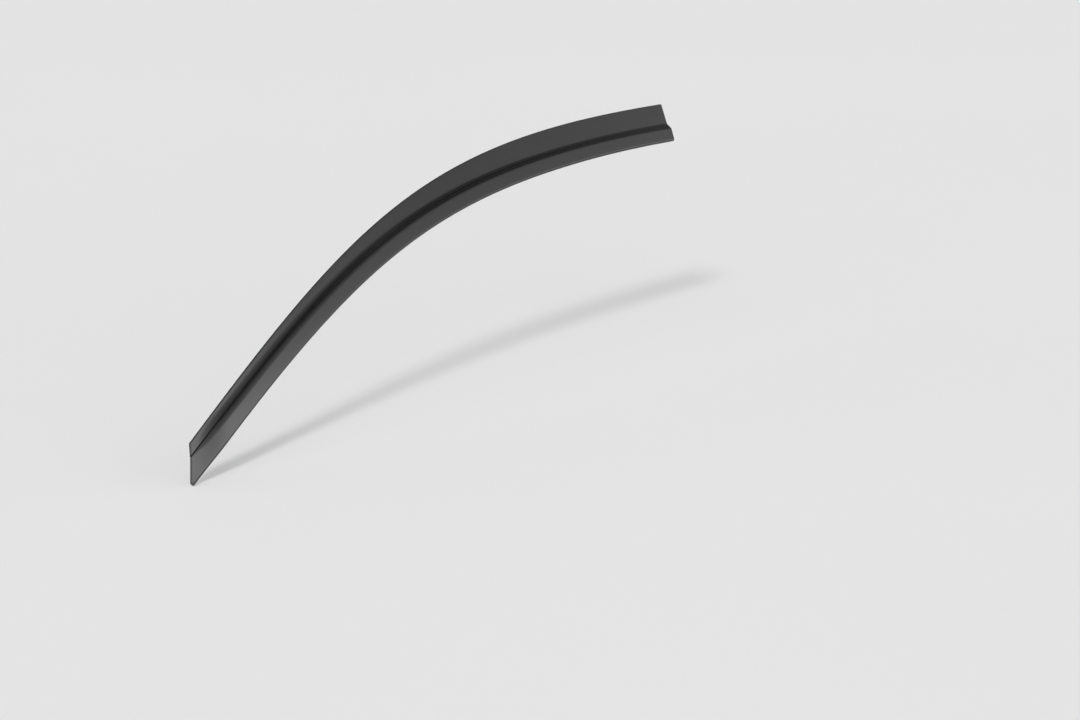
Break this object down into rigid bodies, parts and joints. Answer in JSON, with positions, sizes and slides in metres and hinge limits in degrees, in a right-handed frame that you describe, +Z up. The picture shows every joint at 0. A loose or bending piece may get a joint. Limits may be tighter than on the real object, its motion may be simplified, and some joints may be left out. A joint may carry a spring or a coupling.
{
  "type": "window rain deflector",
  "caption": "Curved smoked-black visor for a car's left front door window, with a taped flange, an outward step and a lip with a rolled lower edge.",
  "frame": {"origin": "on the door frame's surface, at the middle of the taped face's width, half way along the visor", "axes": "+X rearward along the car, +Y inboard towards the car's middle, +Z up, as fitted to the left front door"},
  "size_m": [0.8626, 0.08, 0.2935],
  "materials": {
    "smoked_acrylic": "black moulded acrylic with a soft satin gloss",
    "foam_tape": "matt dark grey foam"
  },
  "bodies": {
    "root": {"visor": "smoked_acrylic", "tape_front": "foam_tape", "tape_middle": "foam_tape", "tape_rear": "foam_tape"}
  },
  "joints": []
}
